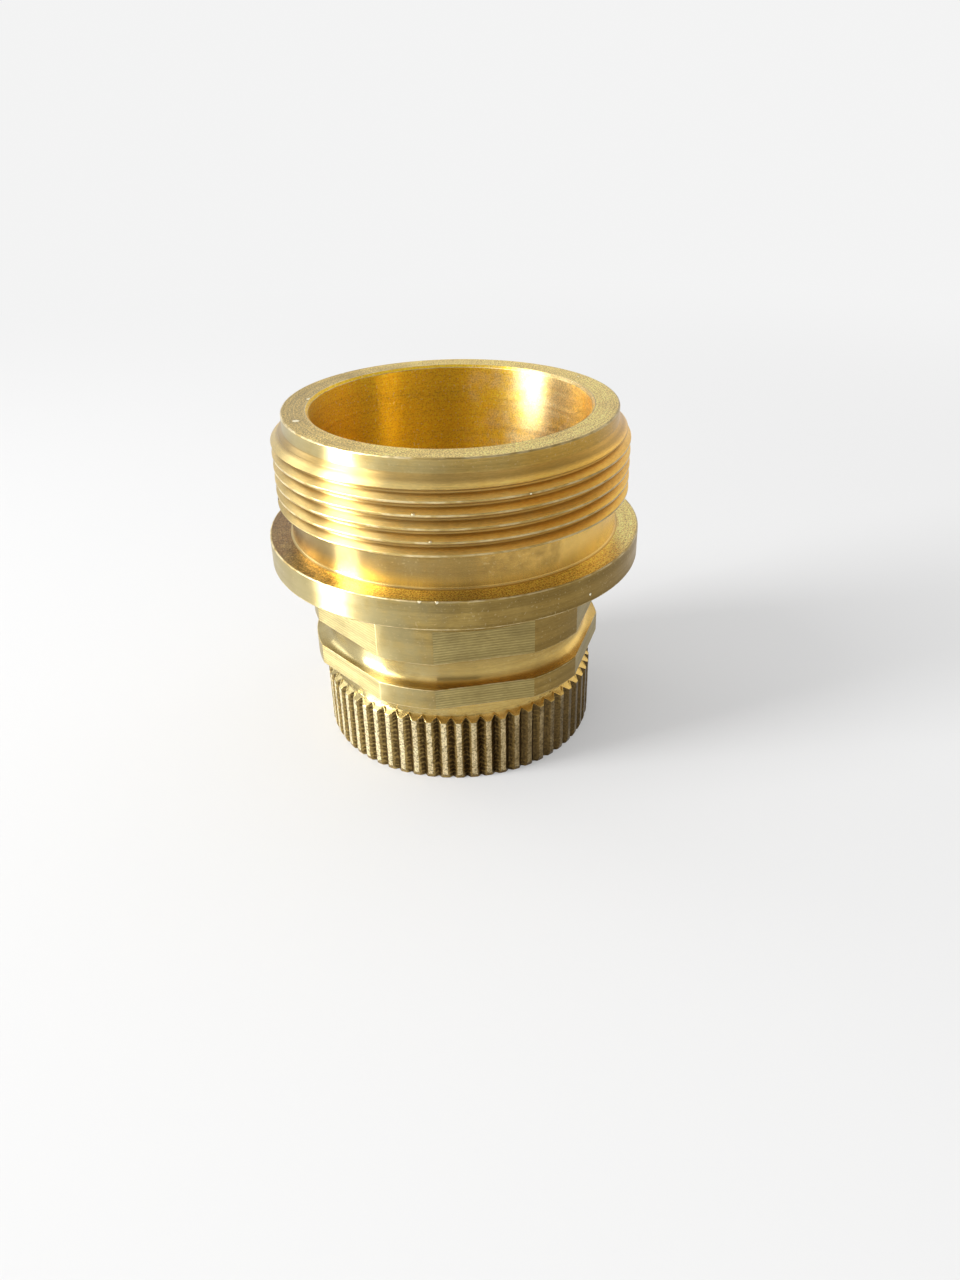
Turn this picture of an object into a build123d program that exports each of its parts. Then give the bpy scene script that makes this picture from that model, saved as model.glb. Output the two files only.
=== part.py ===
from build123d import *
from math import ceil, pi, radians, tan
import os

# Turned brass insert for a moulded pipe fitting.
#
# From the top down: a male parallel pipe thread behind a plain pilot, a thread
# relief, a round flange, two rings that share six milled flats, and a tail with a
# straight knurl, which the plastic body is moulded over. It is all one turning.
#
# Frame: origin at the centre of the tail's end face, +Z along the bore towards the
# threaded end. Two of the six flats face -Y and +Y. All sizes are in millimetres.

# ---- Driving dimensions ----

# Threaded end: G 2 1/4 parallel pipe thread, right hand
THREAD_MAJOR_DIA = 65.71
THREADS_PER_INCH = 11
THREAD_FORM_ANGLE = 55.0
THREAD_LENGTH = 11.2
THREAD_START_ANGLE = 31.0
LEAD_ANGLE = 45.0
PILOT_DIA = 61.2
PILOT_LENGTH = 2.5
PILOT_EDGE = 0.3
RELIEF_DIA = 61.4
RELIEF_LENGTH = 6.75
RELIEF_CORNER = 0.5

# Flange
FLANGE_DIA = 70.2
FLANGE_THICKNESS = 5.4
FLANGE_EDGE = 0.25

# Flatted rings and the grooves that lock them in the plastic
RING_DIA = 56.8
RING_EDGE = 0.25
NECK_LENGTH = 4.1
UPPER_RING_LENGTH = 6.8
LOWER_RING_LENGTH = 4.1
GROOVE_DIA = 51.0
GROOVE_CORNER = 0.4
UPPER_GROOVE_LENGTH = 5.3
LOWER_GROOVE_LENGTH = 3.3
FLAT_COUNT = 6
ACROSS_FLATS = 53.7

# Knurled tail
KNURL_DIA = 53.9
KNURL_LENGTH = 12.7
KNURL_COUNT = 60
KNURL_DEPTH = 0.8
KNURL_LAND = 0.85
KNURL_FLANK_ANGLE = 45.0
KNURL_START_ANGLE = 4.1
KNURL_SHOULDER = 0.8
TAIL_LEAD_LENGTH = 1.0
TAIL_LEAD_DEPTH = 0.35

# Bores
MOUTH_BORE_DIA = 51.4
MOUTH_BORE_DEPTH = 24.0
MOUTH_EDGE = 0.5
TAIL_BORE_DIA = 44.0

# How far a cutter reaches past the surface that it cuts
OVERCUT = 0.5

# ---- Worked-out sizes ----

# Whitworth form: the sharp vee loses a sixth of its height at crest and root
pitch = 25.4 / THREADS_PER_INCH
vee_height = pitch / 2 / tan(radians(THREAD_FORM_ANGLE / 2))
thread_depth = vee_height * 2 / 3
thread_flat = pitch / 6
major_radius = THREAD_MAJOR_DIA / 2
minor_radius = major_radius - thread_depth

ring_radius = RING_DIA / 2
groove_radius = GROOVE_DIA / 2
knurl_radius = KNURL_DIA / 2
knurl_mouth = pi * KNURL_DIA / KNURL_COUNT - KNURL_LAND
mouth_bore_radius = MOUTH_BORE_DIA / 2
tail_bore_radius = TAIL_BORE_DIA / 2

# Levels along the axis, from the tail's end face up
knurl_top = KNURL_LENGTH
tail_shoulder = knurl_top + KNURL_SHOULDER
lower_ring_base = tail_shoulder + LOWER_GROOVE_LENGTH
lower_ring_top = lower_ring_base + LOWER_RING_LENGTH
upper_ring_base = lower_ring_top + UPPER_GROOVE_LENGTH
flats_top = upper_ring_base + UPPER_RING_LENGTH
flange_base = flats_top + NECK_LENGTH
flange_top = flange_base + FLANGE_THICKNESS
thread_base = flange_top + RELIEF_LENGTH
thread_top = thread_base + THREAD_LENGTH
lead_height = (major_radius - PILOT_DIA / 2) / tan(radians(LEAD_ANGLE))
pilot_base = thread_top + lead_height
end_face = pilot_base + PILOT_LENGTH
bore_step = end_face - MOUTH_BORE_DEPTH


def turned_outline():
    """The outside of the turning from the tail's end face up to the threaded end."""
    return [
        (knurl_radius - TAIL_LEAD_DEPTH, 0),
        (knurl_radius, TAIL_LEAD_LENGTH),
        (knurl_radius, knurl_top),
        (groove_radius, tail_shoulder),
        (groove_radius, lower_ring_base),
        (ring_radius - RING_EDGE, lower_ring_base),
        (ring_radius, lower_ring_base + RING_EDGE),
        (ring_radius, lower_ring_top - RING_EDGE),
        (ring_radius - RING_EDGE, lower_ring_top),
        (groove_radius + GROOVE_CORNER, lower_ring_top),
        (groove_radius, lower_ring_top + GROOVE_CORNER),
        (groove_radius, upper_ring_base),
        (ring_radius - RING_EDGE, upper_ring_base),
        (ring_radius, upper_ring_base + RING_EDGE),
        (ring_radius, flange_base),
        (FLANGE_DIA / 2 - FLANGE_EDGE, flange_base),
        (FLANGE_DIA / 2, flange_base + FLANGE_EDGE),
        (FLANGE_DIA / 2, flange_top - FLANGE_EDGE),
        (FLANGE_DIA / 2 - FLANGE_EDGE, flange_top),
        (RELIEF_DIA / 2 + RELIEF_CORNER, flange_top),
        (RELIEF_DIA / 2, flange_top + RELIEF_CORNER),
        (RELIEF_DIA / 2, thread_base),
        (major_radius, thread_base),
        (major_radius, thread_top),
        (PILOT_DIA / 2, pilot_base),
        (PILOT_DIA / 2, end_face - PILOT_EDGE),
        (PILOT_DIA / 2 - PILOT_EDGE, end_face),
    ]


def bored_outline():
    """The stepped bore from the threaded end back down to the tail's end face."""
    return [
        (mouth_bore_radius + MOUTH_EDGE, end_face),
        (mouth_bore_radius, end_face - MOUTH_EDGE),
        (mouth_bore_radius, bore_step),
        (tail_bore_radius, bore_step),
        (tail_bore_radius, 0),
    ]


# ---- Thread groove: the space between two ridges, one turn of it ----

# The groove runs out into the relief below and past the lead cone above
groove_run = thread_top - thread_base + lead_height + 2 * pitch
groove_turns = ceil(groove_run / pitch)
groove_reach = thread_depth + thread_flat / 2
groove_mouth = thread_flat + 2 * groove_reach * tan(radians(THREAD_FORM_ANGLE / 2))

with BuildPart() as thread_groove:
    with BuildLine(Plane.XY.offset(thread_base - pitch).rotated((0, 0, THREAD_START_ANGLE))):
        spiral = Helix(pitch, pitch, minor_radius)
    start = spiral @ 0
    outward = Vector(start.X, start.Y, 0)
    with BuildSketch(Plane(origin=start, x_dir=outward, z_dir=outward.cross(Vector(0, 0, 1)))):
        with BuildLine():
            Polyline(
                (0, -thread_flat / 2),
                (groove_reach, -groove_mouth / 2),
                (groove_reach, groove_mouth / 2),
                (0, thread_flat / 2),
                close=True,
            )
        make_face()
    sweep(path=spiral, is_frenet=True)

# ---- The insert ----

with BuildPart() as threaded_insert:
    # The turning: outside and bore as one profile
    with BuildSketch(Plane.XZ):
        with BuildLine():
            Polyline(*turned_outline(), *bored_outline(), close=True)
        make_face()
    revolve(axis=Axis.Z)

    # Six flats milled along both rings, clear of the flange and of the knurl
    with BuildSketch(Plane.XY.offset(lower_ring_base)):
        Circle(ring_radius + OVERCUT)
        RegularPolygon(ACROSS_FLATS / 2, FLAT_COUNT, major_radius=False, mode=Mode.SUBTRACT)
    extrude(amount=flats_top - lower_ring_base, mode=Mode.SUBTRACT)

    # Straight knurl: vee grooves cut along the tail, open at both ends
    with BuildSketch(Plane.XY):
        with PolarLocations(knurl_radius + OVERCUT, KNURL_COUNT, start_angle=KNURL_START_ANGLE):
            Trapezoid(
                knurl_mouth + 2 * OVERCUT * tan(radians(KNURL_FLANK_ANGLE)),
                KNURL_DEPTH + OVERCUT,
                90 - KNURL_FLANK_ANGLE,
                rotation=90,
                align=(Align.CENTER, Align.MIN),
            )
    extrude(amount=tail_shoulder, mode=Mode.SUBTRACT)

    # The thread, cut turn by turn up its helix
    with Locations([(0, 0, turn * pitch) for turn in range(groove_turns)]):
        add(thread_groove.part, mode=Mode.SUBTRACT)

threaded_insert.part.label = "threaded_insert"
os.makedirs("parts", exist_ok=True)
export_step(threaded_insert.part, "parts/threaded_insert.step")
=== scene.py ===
import math

import bpy
import numpy as np
from bpy.props import FloatProperty, FloatVectorProperty, IntProperty, PointerProperty
from bpy.types import Operator, Panel, PropertyGroup
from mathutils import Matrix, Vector


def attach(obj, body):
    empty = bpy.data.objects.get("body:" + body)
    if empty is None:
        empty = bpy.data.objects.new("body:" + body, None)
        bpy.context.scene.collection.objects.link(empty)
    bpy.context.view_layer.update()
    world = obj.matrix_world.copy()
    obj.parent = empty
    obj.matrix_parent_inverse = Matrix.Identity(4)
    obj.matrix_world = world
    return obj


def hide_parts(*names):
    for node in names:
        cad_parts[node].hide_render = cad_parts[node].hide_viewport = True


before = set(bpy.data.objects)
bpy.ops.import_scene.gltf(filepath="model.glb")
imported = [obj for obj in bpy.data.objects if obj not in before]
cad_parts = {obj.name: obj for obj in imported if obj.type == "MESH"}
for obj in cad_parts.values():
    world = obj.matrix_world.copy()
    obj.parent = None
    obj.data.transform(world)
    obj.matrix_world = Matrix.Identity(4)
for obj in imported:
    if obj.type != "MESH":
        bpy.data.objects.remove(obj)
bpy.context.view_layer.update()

bl_info = {
    "name": "Turned Pipe Insert",
    "version": (1, 0, 0),
    "blender": (4, 5, 0),
    "location": "3D View > Sidebar > Pipe Insert",
    "description": "Builds a turned brass insert for a moulded pipe fitting, its finishes and a studio",
    "category": "Add Mesh",
}

NODE = "threaded_insert"
PIECE = "turned_insert"

# Order of the finishes on the piece's material slots
FACED, BORED, THREADED, TURNED, MILLED, KNURLED, EDGED = range(7)

MM = 0.001
FULL_TURN = 2 * math.pi

# The flats: the angle that each has to itself, and where the first one faces
FLAT_COUNT = 6
FLAT_SECTOR = FULL_TURN / FLAT_COUNT
FIRST_FLAT = math.radians(-90)

# Half the angle between the thread's flanks
FLANK_ANGLE = math.radians(27.5)

# Lines round the axis on the body and the thread
LINES_ROUND = 288

# Depth of the knurl's wear, in metres
EDGE_WEAR = 0.06 * MM
SIDE_WEAR = 0.07 * MM
GROOVE_WEAR = 0.05 * MM
LAND_WEAR = 0.012 * MM

# Dents and burrs, their cores painted bright as glints: turn in degrees, radius, height and size in mm
THREAD_NICKS = (
    (255.5, 32.86, 61.3, 0.55), (248.8, 32.86, 56.8, 0.5),
    (253.2, 32.86, 52.2, 0.45), (282.0, 32.7, 58.9, 0.4),
)
RIM_NICKS = (
    (250.1, 35.0, 42.4, 0.5), (254.8, 35.0, 42.4, 0.5),
    (225.4, 35.1, 40.5, 0.45), (301.0, 35.1, 38.6, 0.4),
)
FACE_NICKS = (
    (189.5, 28.4, 65.2, 1.0), (161.8, 26.3, 65.1, 0.9),
    (125.0, 30.4, 65.2, 0.6), (20.0, 28.9, 65.2, 0.4),
)

# Brightness of the far floor and the horizon, and of the ceiling
PALE = 0.90
CEILING = 0.85

# Brightness of the studio's walls above the horizon, by the direction (degrees round the axis)
WALLS = (
    (0, 0.45), (20, 0.95), (42, 0.85), (62, 0.70), (85, 0.80), (120, 0.90), (205, 0.90),
    (228, 0.84), (240, 0.70), (246, 0.07), (277, 0.05), (281, 0.28), (330, 0.27), (359.9, 0.45),
)

# The lamps face this point. Each has a name, a place, a width, a height and a setting for its power
MIDDLE = Vector((0, 0, 0.035))
LAMPS = (
    ("Side lamp", (-1.15, -0.09, 0.24), 0.36, 0.38, "side_power"),
    ("Back lamp", (-0.85, 0.75, 0.60), 0.45, 0.45, "back_power"),
    ("Key lamp", (-0.98, -0.12, 0.80), 0.50, 0.60, "key_power"),
)

CAMERA_PLACE = (-0.0299857, -0.1725213, 0.116098)
CAMERA_TURN = (59.98125, 1.01201, -11.91232)
FLOOR_HALF = 6.0


# ---------------------------------------------------------------- settings


def length(name, description, default_mm):
    """A size of the insert, kept in metres."""
    default = default_mm * MM
    return FloatProperty(name=name, description=description, default=default, unit="LENGTH", precision=5)


def angle(name, description, degrees):
    """An angle of the insert, kept in radians."""
    default = math.radians(degrees)
    return FloatProperty(name=name, description=description, default=default, unit="ROTATION")


def power(name, description, default):
    """A lamp's power in watts."""
    return FloatProperty(name=name, description=description, default=default, unit="POWER")


def colour(name, description, default):
    """A finish's colour."""
    return FloatVectorProperty(
        name=name, description=description, default=default, subtype="COLOR", size=3, min=0, max=1
    )


def share(name, description, default):
    """A plain number from 0 to 1."""
    return FloatProperty(name=name, description=description, default=default, subtype="FACTOR", min=0, max=1)


class InsertSizes(PropertyGroup):
    """Sizes of the turning, the same as in the part's source"""

    major_radius: length("Thread radius", "Radius over the thread's crests", 32.855)
    pitch: length("Pitch", "Rise of the thread in one turn", 25.4 / 11)
    thread_base: length("Thread base", "Height of the thread's lower end", 49.25)
    thread_top: length("Thread top", "Height at which the lead cone begins", 60.45)
    thread_start: angle("Thread start", "Where the groove is level with the thread's base", 31.0)
    pilot_base: length("Pilot base", "Height at which the lead cone meets the pilot", 62.705)
    pilot_radius: length("Pilot radius", "Radius of the plain pilot", 30.6)
    end_face: length("End face", "Height of the threaded end's face", 65.205)
    relief_radius: length("Relief radius", "Radius of the thread relief", 30.7)
    flange_radius: length("Flange radius", "Radius of the flange", 35.1)
    flange_base: length("Flange base", "Height of the flange's lower face", 37.1)
    flange_top: length("Flange top", "Height of the flange's upper face", 42.5)
    ring_radius: length("Ring radius", "Radius of the two rings", 28.4)
    groove_radius: length("Groove radius", "Radius at the bottom of the grooves", 25.5)
    lower_ring_base: length("Lower ring base", "Height of the lower ring's lower face", 16.8)
    lower_ring_top: length("Lower ring top", "Height of the lower ring's upper face", 20.9)
    upper_ring_base: length("Upper ring base", "Height of the upper ring's lower face", 26.2)
    flats_top: length("Flats top", "Height at which the milled flats end", 33.0)
    flat_reach: length("Flat reach", "Distance of each milled flat from the axis", 26.85)
    knurl_radius: length("Knurl radius", "Radius over the knurl's teeth", 26.95)
    knurl_top: length("Knurl top", "Height of the knurl's upper end", 12.7)
    tail_shoulder: length("Tail shoulder", "Height at which the knurl's cone meets the groove", 13.5)
    knurl_depth: length("Knurl depth", "Depth of the knurl's grooves", 0.8)
    knurl_land: length("Knurl land", "Width of each tooth's flat top", 0.85)
    knurl_start: angle("Knurl start", "Where the first groove of the knurl lies", 4.1)
    knurl_count: IntProperty(name="Teeth", description="Teeth round the knurl", default=60, min=12)
    arch_rise: share("Arch rise", "How far each groove runs on up the cone, for its depth", 0.32)
    lead_height: length("Tail lead height", "Height of the chamfer at the tail's end", 1.0)
    lead_depth: length("Tail lead depth", "Depth of the chamfer at the tail's end", 0.35)
    mouth_radius: length("Mouth bore", "Radius of the wide bore", 25.7)
    mouth_edge: length("Mouth edge", "Chamfer at the mouth of the bore", 0.5)
    bore_step: length("Bore step", "Height of the step between the bores", 41.205)
    tail_bore_radius: length("Tail bore", "Radius of the narrow bore", 22.0)
    edge_round: length("Edge rounding", "Radius on the turned edges", 0.16)
    groove_sweep: length("Groove sweep", "Radius between the upper groove and the lower ring", 2.3)
    corner_round: length("Corner rounding", "Radius left by the tool in the inner corners", 0.5)


class InsertFinishes(PropertyGroup):
    """Colours and textures of the machined brass, and the colours of painted light and shade laid over it"""

    faced_colour: colour("Faced", "Brass of the end face and the flange's upper face", (0.86, 0.64, 0.22))
    # Deepened to orange beyond the brass's own colour, as painted bounce light
    bored_colour: colour("Bored", "Brass inside the bore, deepened as painted bounce light", (1.0, 0.62, 0.05))
    # Painted light: paler brass on the lit side of the bore
    lit_bore_colour: colour("Pale bore", "Painted light, paler brass on the lit side of the bore", (0.74, 0.60, 0.33))
    threaded_colour: colour("Threaded", "Brass of the thread", (1.0, 0.70, 0.22))
    turned_colour: colour("Turned", "Brass of the turned outside", (0.58, 0.415, 0.135))
    milled_colour: colour("Milled", "Brass of the milled flats", (0.50, 0.40, 0.16))
    knurled_colour: colour("Knurled", "Brass of the knurl's tooth tops", (0.90, 0.76, 0.47))
    # Painted glow of reflected light, laid in the inner corners, on the relief and on the flange's face
    painted_glow_colour: colour("Inner corners", "Painted glow in the inner corners, on the relief and the flange's face", (1.0, 0.66, 0.19))
    # Painted shade, laid in the knurl's grooves, below the upper ring and on one side of the faces
    painted_shade_colour: colour("Knurl grooves", "Painted shade in the knurl's grooves, under the upper ring and on the faces", (0.33, 0.23, 0.08))
    # Painted highlight on the crests and edges, also laid as pale flecks
    edge_highlight_colour: colour("Edged", "Painted highlight on the crests and edges", (0.85, 0.70, 0.38))
    # Bare metal of dents and burrs, painted near white as a glint
    nick_glint_colour: colour("Nicks", "Bare metal in dents and burrs, painted bright as a glint", (1.0, 0.92, 0.66))
    # Painted shade under the thread's crests, on the relief and on the flange's face; also darkens the
    # thread's root
    under_shade_colour: colour("Underside", "Painted shade under the thread's crests, on the relief and the flange's face, and the darker thread root", (0.27, 0.15, 0.045))
    # Dull brown of oxide in random bands and patches, also laid as painted shade in the knurl
    oxide_and_shade_colour: colour("Shade", "Dull brown of oxidised or oily brass, and painted shade in the knurl", (0.11, 0.072, 0.028))
    # Painted shade on one side of the insert: what it leaves of the colour, where it is heaviest and how far
    # it reaches
    side_shade_colour: colour("Tarnish", "What the painted side shade leaves of the brass's colour", (0.42, 0.36, 0.26))
    shaded_side: angle("Tarnish side", "Direction in which the painted side shade is heaviest", 312.0)
    shade_spread: share("Tarnish spread", "How far round the painted side shade reaches", 0.85)
    # Painted light: the paler brass of the lit side
    lit_side_colour: colour("Pale side", "Painted light, paler brass on the lit side", (0.60, 0.52, 0.27))
    # Painted amber shade on one side: what it leaves of the colour and where it is heaviest
    amber_shade_colour: colour("Warmth", "What the painted amber shade leaves of the brass's colour", (1.0, 0.84, 0.52))
    amber_shade_side: angle("Warm side", "Direction in which the painted amber shade is heaviest", 327.0)
    # Direction of the painted light on the lit side
    pale_side: angle("Pale side", "Direction in which the brass is palest", 205.0)
    # Direction of the painted shade on the faces
    face_shade_side: angle("Shaded faces", "Direction in which painted shade darkens the flat faces", 163.0)
    # Direction of the painted amber glow on the relief
    relief_glow_side: angle("Relief glow", "Direction in which the relief glows most", 318.0)
    # Direction of the painted light in the bore
    bore_lit_side: angle("Pale bore side", "Direction in which the bore is palest", 18.0)
    knurl_shade_side: angle("Knurl shade", "Direction in which the knurl is darkest", 335.0)
    mark_spacing: length("Turning marks", "Distance between the tool's feed marks", 0.28)
    mark_depth: length("Turning mark depth", "Depth of the feed marks", 0.004)
    feed_spacing: length("Milling marks", "Distance between the lines on the milled flats", 0.52)
    chatter_spacing: length("Chatter marks", "Distance between the tool's chatter marks in the knurl", 1.0)
    grain: share("Grain", "Strength of the fine speckle in the surface", 0.5)


class StudioSettings(PropertyGroup):
    """The floor, the lamps and the camera"""

    floor_colour: colour("Floor", "Colour of the floor", (0.70, 0.70, 0.70))
    key_power: power("Key lamp", "Power of the high lamp", 7.0)
    back_power: power("Back lamp", "Power of the lamp behind", 1.4)
    side_power: power("Side lamp", "Power of the low side lamp", 22.0)
    lens: FloatProperty(name="Lens", description="Camera's focal length", default=27.42, unit="CAMERA")


# ---------------------------------------------------------------- outline and mesh


def rounded(corners, steps=3):
    """The outline through the corners (radius, height, rounding), each corner turned into a small arc.

    Each point is (radius, height, True where the run before it rounds an outer edge)."""
    points = [(*corners[0][:2], False)]
    for before, corner, after in zip(corners, corners[1:], corners[2:]):
        here = np.array(corner[:2])
        back = np.array(before[:2]) - here
        ahead = np.array(after[:2]) - here
        back_length, ahead_length = np.linalg.norm(back), np.linalg.norm(ahead)
        back, ahead = back / back_length, ahead / ahead_length
        turn = math.acos(np.clip(-back @ ahead, -1, 1))
        # An arc may take what its neighbours leave of each run
        taken_back = 0 if before is corners[0] else before[2]
        taken_ahead = 0 if after is corners[-1] else after[2]
        reach = min(
            corner[2] * math.tan(turn / 2),
            max(0.45 * back_length, 0.98 * back_length - taken_back),
            max(0.45 * ahead_length, 0.98 * ahead_length - taken_ahead),
        )
        if reach < 1e-7:
            points.append((*here, False))
            continue
        outer = ahead[0] * back[1] - ahead[1] * back[0] > 0
        start, end = here + back * reach, here + ahead * reach
        for step in range(steps + 1):
            t = step / steps
            place = (1 - t) ** 2 * start + 2 * t * (1 - t) * here + t**2 * end
            points.append((*place, bool(outer and step > 0)))
    points.append((*corners[-1][:2], False))
    return points


def read_all(items, name, kind=float, width=1):
    """One value, or several, of every item of a mesh."""
    values = np.zeros(len(items) * width, dtype=kind)
    items.foreach_get(name, values)
    return values


class Skin:
    """Gathers rings of points round the axis and the faces between them."""

    def __init__(self):
        self.points = []
        self.normals = []
        self.faces = []
        self.finishes = []
        self.count = 0

    def add(self, angles, radii, heights, normals=None):
        """Adds one ring and returns its points' numbers. Normals left out are worked out from the faces."""
        radii = np.broadcast_to(radii, angles.shape)
        heights = np.broadcast_to(heights, angles.shape)
        self.points.append(np.stack([radii * np.cos(angles), radii * np.sin(angles), heights], axis=1))
        self.normals.append(np.zeros((len(angles), 3)) if normals is None else normals)
        first = self.count
        self.count += len(angles)
        return np.arange(first, self.count)

    def face(self, corners, finish):
        """Adds a face, leaving out corners that fall on each other."""
        kept = [c for n, c in enumerate(corners) if c != corners[n - 1]]
        if len(kept) >= 3:
            self.faces.append(kept)
            self.finishes.append(finish)

    def bridge(self, before, after, finish):
        """Joins two rings that have the same number of points."""
        for n in range(len(before)):
            m = (n + 1) % len(before)
            self.face([before[n], before[m], after[m], after[n]], finish)

    def lace(self, before, before_angles, after, after_angles, finish):
        """Joins two rings whose points stand at different angles."""
        first = before_angles[0]
        shift = int(np.argmin((after_angles - first) % FULL_TURN))
        after = np.roll(after, -shift)
        after_angles = first + (np.roll(after_angles, -shift) - first) % FULL_TURN
        before_angles = first + (before_angles - first) % FULL_TURN

        def following(angles, n):
            if n + 1 < len(angles):
                return angles[n + 1]
            return angles[0] + FULL_TURN * (1 if n < len(angles) else 2)

        i = j = 0
        while i < len(before) or j < len(after):
            next_i, next_j = following(before_angles, i), following(after_angles, j)
            here, there = before[i % len(before)], after[j % len(after)]
            if next_i <= next_j:
                self.face([here, before[(i + 1) % len(before)], there], finish)
                i += 1
            else:
                self.face([here, after[(j + 1) % len(after)], there], finish)
                j += 1

    def build(self, name):
        """Makes the mesh object, with normals that keep wide faces flat beside narrow edges."""
        points = np.concatenate(self.points)
        mesh = bpy.data.meshes.new(name)
        mesh.from_pydata(points.tolist(), [], self.faces)
        mesh.polygons.foreach_set("material_index", self.finishes)
        mesh.polygons.foreach_set("use_smooth", [True] * len(self.faces))
        mesh.update()
        weights = read_all(mesh.polygons, "area")
        normals = read_all(mesh.polygons, "normal", width=3).reshape(-1, 3)
        pull = normals * weights[:, None]
        loops = read_all(mesh.loops, "vertex_index", np.int64)
        sizes = read_all(mesh.polygons, "loop_total", np.int64)
        summed = np.zeros((len(points), 3))
        np.add.at(summed, loops, np.repeat(pull, sizes, axis=0))
        given = np.concatenate(self.normals)
        known = (given**2).sum(axis=1) > 0.5
        summed[known] = given[known]
        summed /= np.maximum(np.linalg.norm(summed, axis=1, keepdims=True), 1e-30)
        # The torn faces of the knurl stay faceted
        cornered = summed[loops]
        torn = np.repeat(np.array(self.finishes) == KNURLED, sizes)
        cornered[torn] = np.repeat(normals, sizes, axis=0)[torn]
        mesh.normals_split_custom_set(cornered)
        piece = bpy.data.objects.new(name, mesh)
        bpy.context.scene.collection.objects.link(piece)
        return piece


def outline_normals(rows):
    """Which way (outward, up) the surface faces at each point of an outline, wide runs counting for more."""
    points = np.array(rows)
    runs = np.diff(points, axis=0)
    facing = np.stack([runs[:, 1], -runs[:, 0]], axis=1)
    summed = np.zeros_like(points)
    summed[:-1] += facing
    summed[1:] += facing
    return summed / np.linalg.norm(summed, axis=1, keepdims=True)


def around(angles, facing):
    """The normals of a ring whose surface faces (outward, up)."""
    outward, up = facing
    return np.stack([outward * np.cos(angles), outward * np.sin(angles), np.full(angles.shape, up)], axis=1)


def even_angles(count, start=0.0):
    """Angles spread evenly once round the axis."""
    return start + np.arange(count) * FULL_TURN / count


# ---------------------------------------------------------------- the turning, part by part


def flat_angles(sizes, count):
    """Even angles, with close pairs where the flats meet the round."""
    edge = math.acos(sizes.flat_reach / sizes.ring_radius)
    slack = math.radians(0.12)
    edges = []
    for centre in even_angles(FLAT_COUNT, FIRST_FLAT):
        for side in (-1, 1):
            edges += [centre + side * (edge - slack), centre + side * (edge + slack)]
    edges = np.array(edges) % FULL_TURN
    even = even_angles(count)
    gap = np.abs((even[:, None] - edges[None, :] + math.pi) % FULL_TURN - math.pi).min(axis=1)
    return np.sort(np.concatenate([even[gap > math.radians(0.4)], edges]))


def flat_radius(sizes, angles):
    """How far out the flats leave the surface, where they cut it, and the direction that it faces."""
    sector = (angles - FIRST_FLAT + FLAT_SECTOR / 2) % FLAT_SECTOR - FLAT_SECTOR / 2
    cut = np.minimum(sizes.ring_radius, sizes.flat_reach / np.cos(sector))
    is_flat = cut < sizes.ring_radius * 0.99999
    return cut, is_flat, np.where(is_flat, angles - sector, angles)


def build_body(skin, sizes, angles):
    """The rings with their flats, the neck, the flange and the relief. Returns the first and last ring."""
    s, e, c = sizes, sizes.edge_round, sizes.corner_round
    ledge = 0.03 * MM
    outline = rounded([
        (s.groove_radius, s.tail_shoulder + 0.9 * MM, 0),
        (s.groove_radius, s.lower_ring_base, c / 2),
        (s.ring_radius, s.lower_ring_base, e),
        (s.ring_radius, s.lower_ring_top, e),
        (s.groove_radius, s.lower_ring_top, s.groove_sweep),
        (s.groove_radius, s.upper_ring_base, c / 2),
        (s.ring_radius, s.upper_ring_base, e),
        (s.ring_radius, s.flats_top - ledge, 0),
    ], steps=5)
    cut, is_flat, facing_angles = flat_radius(s, angles)
    share_cut = (cut - s.groove_radius) / (s.ring_radius - s.groove_radius)
    turned_by = (facing_angles - angles + math.pi) % FULL_TURN - math.pi
    first = last = None
    rows = [(r, z, True, edge) for r, z, edge in outline]
    rows += [(s.ring_radius, s.flats_top + ledge, False, False)]
    rows += [(r, z, False, edge) for r, z, edge in rounded([
        (s.ring_radius, s.flats_top + 4 * ledge, 0),
        (s.ring_radius, s.flange_base, e),
        (s.flange_radius, s.flange_base, 1.6 * e),
        (s.flange_radius, s.flange_top, 1.6 * e),
        (s.relief_radius, s.flange_top, c),
        (s.relief_radius, s.thread_base, 0),
    ], steps=4)]
    previous = None
    facings = outline_normals([row[:2] for row in rows])
    for (radius, height, milled, edge), facing in zip(rows, facings):
        radii = np.full(angles.shape, radius)
        if milled and radius > s.groove_radius:
            radii = s.groove_radius + (radius - s.groove_radius) * share_cut
        # The flats turn the surface to one side, less and less towards the round groove
        above_groove = (radius - s.groove_radius) / (s.ring_radius - s.groove_radius)
        reach = min(max(above_groove, 0), 1) if milled else 0
        ring = skin.add(angles, radii, height, around(angles + reach * turned_by, facing))
        if first is None:
            first = ring
        if last is not None:
            on_face = abs(previous[1] - height) < 0.02 * MM
            on_rim = milled and previous[2] and min(radius, previous[0]) > s.ring_radius * 0.999
            finish = FACED if on_face and abs(height - s.flange_top) < 0.3 * MM else TURNED
            finish = EDGED if edge else finish
            for n in range(len(angles)):
                m = (n + 1) % len(angles)
                flat_here = on_rim and is_flat[n] and is_flat[m]
                skin.face([last[n], last[m], ring[m], ring[n]], MILLED if flat_here and not edge else finish)
        last, previous = ring, (radius, height, milled)
    return first, last


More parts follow.
